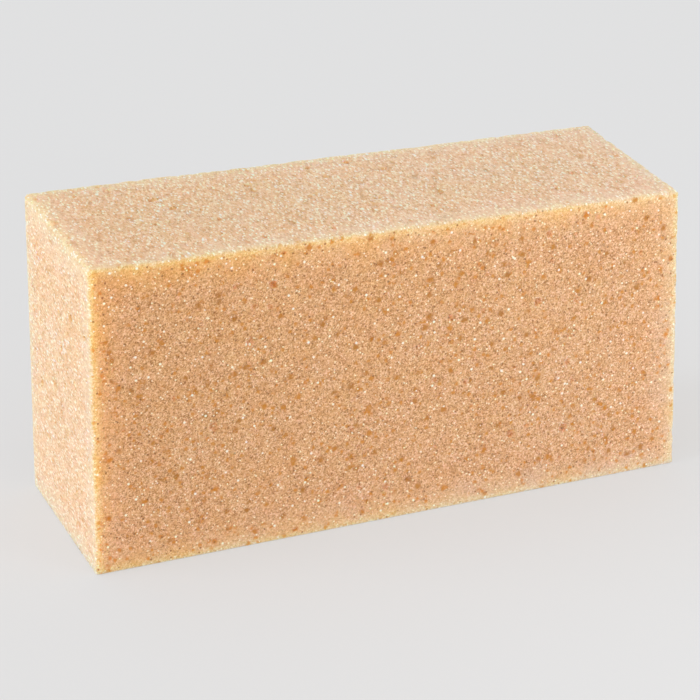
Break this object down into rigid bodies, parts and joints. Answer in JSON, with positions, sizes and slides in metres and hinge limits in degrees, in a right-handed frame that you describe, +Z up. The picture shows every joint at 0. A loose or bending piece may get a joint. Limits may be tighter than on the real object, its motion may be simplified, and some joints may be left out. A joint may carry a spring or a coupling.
{
  "type": "cleaning sponge",
  "caption": "Rectangular block of fine open-cell foam for cleaning, sawn slightly out of square, with open pores on every face.",
  "frame": {"origin": "centre of the base, the long narrow face that the block stands on", "axes": "+X along the block to its lower, more leaning end, +Y from the front broad face to the back one, +Z up"},
  "size_m": [0.183, 0.0608, 0.0932],
  "materials": {
    "foam": "matte open-cell polyurethane foam, peach-tan, translucent near its edges, with fine glinting cell walls"
  },
  "bodies": {
    "root": {"sponge": "foam"}
  },
  "joints": []
}
